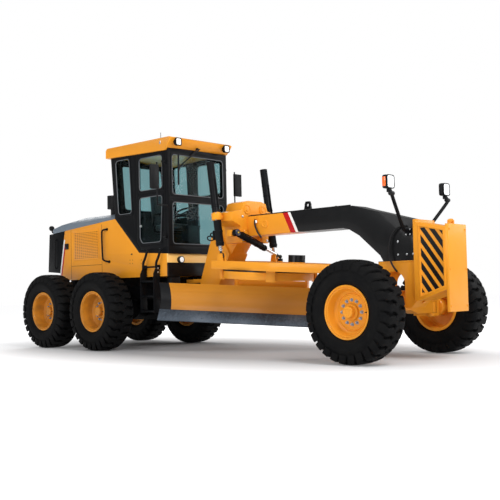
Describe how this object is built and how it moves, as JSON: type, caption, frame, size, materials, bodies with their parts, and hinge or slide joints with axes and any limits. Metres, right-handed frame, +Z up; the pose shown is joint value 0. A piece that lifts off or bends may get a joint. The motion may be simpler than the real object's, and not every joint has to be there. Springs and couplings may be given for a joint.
{
  "type": "motor grader",
  "caption": "Articulated six-wheel road grader: cab and engine on a tandem rear frame, arched neck with drawbar, turning circle and curved blade.",
  "frame": {"origin": "on the ground under the middle of the machine's length and width", "axes": "+X forwards, +Y to the machine's left, +Z up"},
  "size_m": [8.75, 2.5758, 3.565],
  "materials": {
    "yellow_paint": "gloss",
    "black_paint": "satin",
    "grey_paint": "satin",
    "engine": "rough",
    "black_plastic": "matt",
    "window_glass": "tinted",
    "seat_cloth": "woven",
    "lamp_lens": "clear",
    "edge_steel": "worn",
    "chrome_rod": "polished",
    "tyre_rubber": "matt",
    "rim_paint": "gloss"
  },
  "bodies": {
    "rear_body": {"rear_frame": "black_paint", "rear_axle": "black_paint", "tandem_cases": "black_paint", "engine_block": "engine", "hood_body": "yellow_paint", "hood_crown": "grey_paint", "rear_grille": "black_paint", "pre_cleaner": "black_plastic", "cab_frame": "black_paint", "cab_roof": "yellow_paint", "cab_glass": "window_glass", "operator_seat": "seat_cloth", "steering_console": "black_plastic", "cab_lamps": "lamp_lens", "ladders": "black_paint", "mirrors": "black_plastic"},
    "door_left_body": {"door_left": "black_paint", "door_glass_left": "window_glass"},
    "door_right_body": {"door_right": "black_paint", "door_glass_right": "window_glass"},
    "front_body": {"front_frame": "yellow_paint", "saddle": "yellow_paint", "push_block": "yellow_paint", "front_lamps": "black_plastic", "front_axle": "yellow_paint"},
    "knuckle_left_body": {"knuckle_left": "yellow_paint"},
    "knuckle_right_body": {"knuckle_right": "yellow_paint"},
    "tie_rod_body": {"tie_rod": "black_paint"},
    "drawbar_body": {"drawbar": "yellow_paint"},
    "circle_body": {"circle": "yellow_paint"},
    "tip_body": {"blade_carrier": "yellow_paint"},
    "blade_body": {"moldboard": "yellow_paint", "cutting_edge": "edge_steel"},
    "lift_barrel_left_body": {"lift_barrel_left": "black_paint"},
    "lift_barrel_right_body": {"lift_barrel_right": "black_paint"},
    "lift_rod_left_body": {"lift_rod_left": "chrome_rod"},
    "lift_rod_right_body": {"lift_rod_right": "chrome_rod"},
    "shift_barrel_body": {"shift_barrel": "black_paint"},
    "shift_rod_body": {"shift_rod": "chrome_rod"},
    "wheel_rear_left_body": {"tyre_rear_left": "tyre_rubber", "rim_rear_left": "rim_paint"},
    "wheel_rear_right_body": {"tyre_rear_right": "tyre_rubber", "rim_rear_right": "rim_paint"},
    "wheel_middle_left_body": {"tyre_middle_left": "tyre_rubber", "rim_middle_left": "rim_paint"},
    "wheel_middle_right_body": {"tyre_middle_right": "tyre_rubber", "rim_middle_right": "rim_paint"},
    "wheel_front_left_body": {"tyre_front_left": "tyre_rubber", "rim_front_left": "rim_paint"},
    "wheel_front_right_body": {"tyre_front_right": "tyre_rubber", "rim_front_right": "rim_paint"}
  },
  "joints": [
    {"name": "wheel_rear_left_spin", "type": "hinge", "parent": "rear_body", "child": "wheel_rear_left_body", "pos_m": [-3.524, 1.07, 0.675], "axis": [0, 1, 0], "continuous": true},
    {"name": "wheel_rear_right_spin", "type": "hinge", "parent": "rear_body", "child": "wheel_rear_right_body", "pos_m": [-3.524, -1.07, 0.675], "axis": [0, 1, 0], "continuous": true},
    {"name": "wheel_middle_left_spin", "type": "hinge", "parent": "rear_body", "child": "wheel_middle_left_body", "pos_m": [-1.986, 1.07, 0.675], "axis": [0, 1, 0], "continuous": true},
    {"name": "wheel_middle_right_spin", "type": "hinge", "parent": "rear_body", "child": "wheel_middle_right_body", "pos_m": [-1.986, -1.07, 0.675], "axis": [0, 1, 0], "continuous": true},
    {"name": "wheel_front_left_spin", "type": "hinge", "parent": "knuckle_left_body", "child": "wheel_front_left_body", "pos_m": [3.465, 1.07, 0.675], "axis": [0, 1, 0], "continuous": true},
    {"name": "wheel_front_right_spin", "type": "hinge", "parent": "knuckle_right_body", "child": "wheel_front_right_body", "pos_m": [3.465, -1.07, 0.675], "axis": [0, 1, 0], "continuous": true},
    {"name": "articulation", "type": "hinge", "parent": "rear_body", "child": "front_body", "pos_m": [-0.775, 0, 0.975], "axis": [0, 0, -1], "range_deg": [-25, 25]},
    {"name": "steer_right", "type": "hinge", "parent": "front_body", "child": "knuckle_right_body", "pos_m": [3.465, -0.78, 0.675], "axis": [0, 0, 1], "range_deg": [-45, 45]},
    {"name": "steer_left", "type": "hinge", "parent": "front_body", "child": "knuckle_left_body", "pos_m": [3.465, 0.78, 0.675], "axis": [0, 0, 1], "range_deg": [-45, 45]},
    {"name": "tie_rod_pivot", "type": "hinge", "parent": "knuckle_left_body", "child": "tie_rod_body", "pos_m": [3.215, 0.78, 0.62], "axis": [0, 0, 1], "range_deg": [-45, 45]},
    {"name": "door_left_swing", "type": "hinge", "parent": "rear_body", "child": "door_left_body", "pos_m": [-0.66, 0.7, 2.5], "axis": [0, 0, -1], "range_deg": [0, 80]},
    {"name": "door_right_swing", "type": "hinge", "parent": "rear_body", "child": "door_right_body", "pos_m": [-0.66, -0.7, 2.5], "axis": [0, 0, 1], "range_deg": [0, 80]},
    {"name": "drawbar_lift", "type": "hinge", "parent": "front_body", "child": "drawbar_body", "pos_m": [3.125, 0, 1.12], "axis": [0, 1, 0], "range_deg": [-20, 0]},
    {"name": "circle_turn", "type": "hinge", "parent": "drawbar_body", "child": "circle_body", "pos_m": [0.99703, 0, 1.22125], "axis": [0.0663, 0, 0.9978], "range_deg": [-5, 125]},
    {"name": "blade_tip", "type": "hinge", "parent": "circle_body", "child": "tip_body", "pos_m": [0.85234, 0.17753, 0.58945], "axis": [0.8641, 0.5, -0.0574], "range_deg": [-5, 30]},
    {"name": "blade_side_shift", "type": "slide", "parent": "tip_body", "child": "blade_body", "axis": [0.8641, 0.5, -0.0574], "range_m": [-0.55, 0.15]},
    {"name": "lift_barrel_left_pivot", "type": "hinge", "parent": "front_body", "child": "lift_barrel_left_body", "pos_m": [0.485, 0.62, 2.15], "axis": [0, 1, 0], "range_deg": [-0.05, 4.4]},
    {"name": "lift_rod_left_slide", "type": "slide", "parent": "lift_barrel_left_body", "child": "lift_rod_left_body", "axis": [0.1437, 0, -0.9896], "range_m": [-0.001, 0.8949]},
    {"name": "lift_barrel_right_pivot", "type": "hinge", "parent": "front_body", "child": "lift_barrel_right_body", "pos_m": [0.485, -0.62, 2.15], "axis": [0, 1, 0], "range_deg": [-0.05, 4.4]},
    {"name": "lift_rod_right_slide", "type": "slide", "parent": "lift_barrel_right_body", "child": "lift_rod_right_body", "axis": [0.1437, 0, -0.9896], "range_m": [-0.001, 0.8949]},
    {"name": "shift_barrel_pivot", "type": "hinge", "parent": "front_body", "child": "shift_barrel_body", "pos_m": [0.805, -0.52, 1.88], "axis": [1, 0, 0], "range_deg": [-29.71, 0.05]},
    {"name": "shift_rod_slide", "type": "slide", "parent": "shift_barrel_body", "child": "shift_rod_body", "axis": [0, 0.943, -0.3328], "range_m": [-0.001, 0.4773]}
  ],
  "couplings": [
    {"joint": "lift_barrel_left_pivot", "follows": "drawbar_lift", "ratio": -0.2177},
    {"joint": "lift_rod_left_slide", "follows": "drawbar_lift", "m_per_rad": -2.5609},
    {"joint": "lift_barrel_right_pivot", "follows": "drawbar_lift", "ratio": -0.2177},
    {"joint": "lift_rod_right_slide", "follows": "drawbar_lift", "m_per_rad": -2.5609},
    {"joint": "shift_barrel_pivot", "follows": "drawbar_lift", "ratio": 1.4831},
    {"joint": "shift_rod_slide", "follows": "drawbar_lift", "m_per_rad": -1.3644},
    {"joint": "steer_left", "follows": "steer_right", "ratio": 1},
    {"joint": "tie_rod_pivot", "follows": "steer_right", "ratio": -1}
  ]
}
